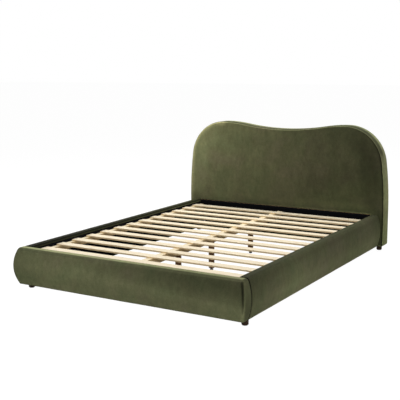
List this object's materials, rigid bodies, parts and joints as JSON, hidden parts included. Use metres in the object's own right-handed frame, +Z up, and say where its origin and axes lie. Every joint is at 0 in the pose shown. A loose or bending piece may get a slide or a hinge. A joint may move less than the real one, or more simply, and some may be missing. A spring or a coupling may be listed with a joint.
{
  "type": "bed frame",
  "caption": "Upholstered double bed frame with a wave-topped padded headboard, rounded padded rails, wooden slats, a centre beam and screw-in levelling feet.",
  "frame": {"origin": "on the floor, at the middle of the overall width and of the overall length", "axes": "+Y from the foot end to the head end, +Z up, +X to the right of someone at the foot end who looks at the headboard"},
  "size_m": [1.634, 2.212, 0.904],
  "materials": {
    "velvet": "olive green velvet",
    "lining": "black non-woven lining",
    "foam": "upholstery foam",
    "pine": "planed softwood",
    "ply": "raw plywood",
    "dark_wood": "dark stained wood",
    "black_plastic": "matte",
    "steel": "zinc plated"
  },
  "bodies": {
    "frame": {"headboard_panel": "ply", "headboard_left_stile": "pine", "headboard_right_stile": "pine", "headboard_bottom_rail": "pine", "headboard_top_rail": "pine", "headboard_centre_post": "pine", "headboard_spacer_board": "ply", "headboard_foam": "foam", "headboard_cover": "velvet", "headboard_front_lining": "lining", "headboard_back_lining": "lining", "left_rail_board": "ply", "right_rail_board": "ply", "left_rail_foam": "foam", "right_rail_foam": "foam", "left_rail_cover": "velvet", "right_rail_cover": "velvet", "left_rail_lining": "lining", "right_rail_lining": "lining", "left_slat_ledger": "pine", "right_slat_ledger": "pine", "leg_blocks": "pine", "footboard_board": "ply", "footboard_foam": "foam", "footboard_cover": "velvet", "footboard_lining": "lining", "corner_brackets": "steel", "bracket_bolts": "steel", "centre_beam": "pine", "beam_hangers": "steel", "centre_leg_1": "dark_wood", "centre_leg_2": "dark_wood", "centre_leg_3": "dark_wood", "leg_inserts": "steel", "front_left_leg": "dark_wood", "front_right_leg": "dark_wood", "head_left_leg": "dark_wood", "head_right_leg": "dark_wood", "leg_glides": "black_plastic", "leg_studs": "steel", "wood_screws": "steel", "slat_1": "pine", "slat_2": "pine", "slat_3": "pine", "slat_4": "pine", "slat_5": "pine", "slat_6": "pine", "slat_7": "pine", "slat_8": "pine", "slat_9": "pine", "slat_10": "pine", "slat_11": "pine", "slat_12": "pine", "slat_13": "pine"},
    "levelling_foot_1": {"levelling_foot_1": "black_plastic"},
    "levelling_foot_2": {"levelling_foot_2": "black_plastic"},
    "levelling_foot_3": {"levelling_foot_3": "black_plastic"}
  },
  "joints": [
    {"name": "levelling_foot_1_travel", "type": "slide", "parent": "frame", "child": "levelling_foot_1", "axis": [0, 0, -1], "range_m": [0, 0.012]},
    {"name": "levelling_foot_2_travel", "type": "slide", "parent": "frame", "child": "levelling_foot_2", "axis": [0, 0, -1], "range_m": [0, 0.012]},
    {"name": "levelling_foot_3_travel", "type": "slide", "parent": "frame", "child": "levelling_foot_3", "axis": [0, 0, -1], "range_m": [0, 0.012]}
  ]
}
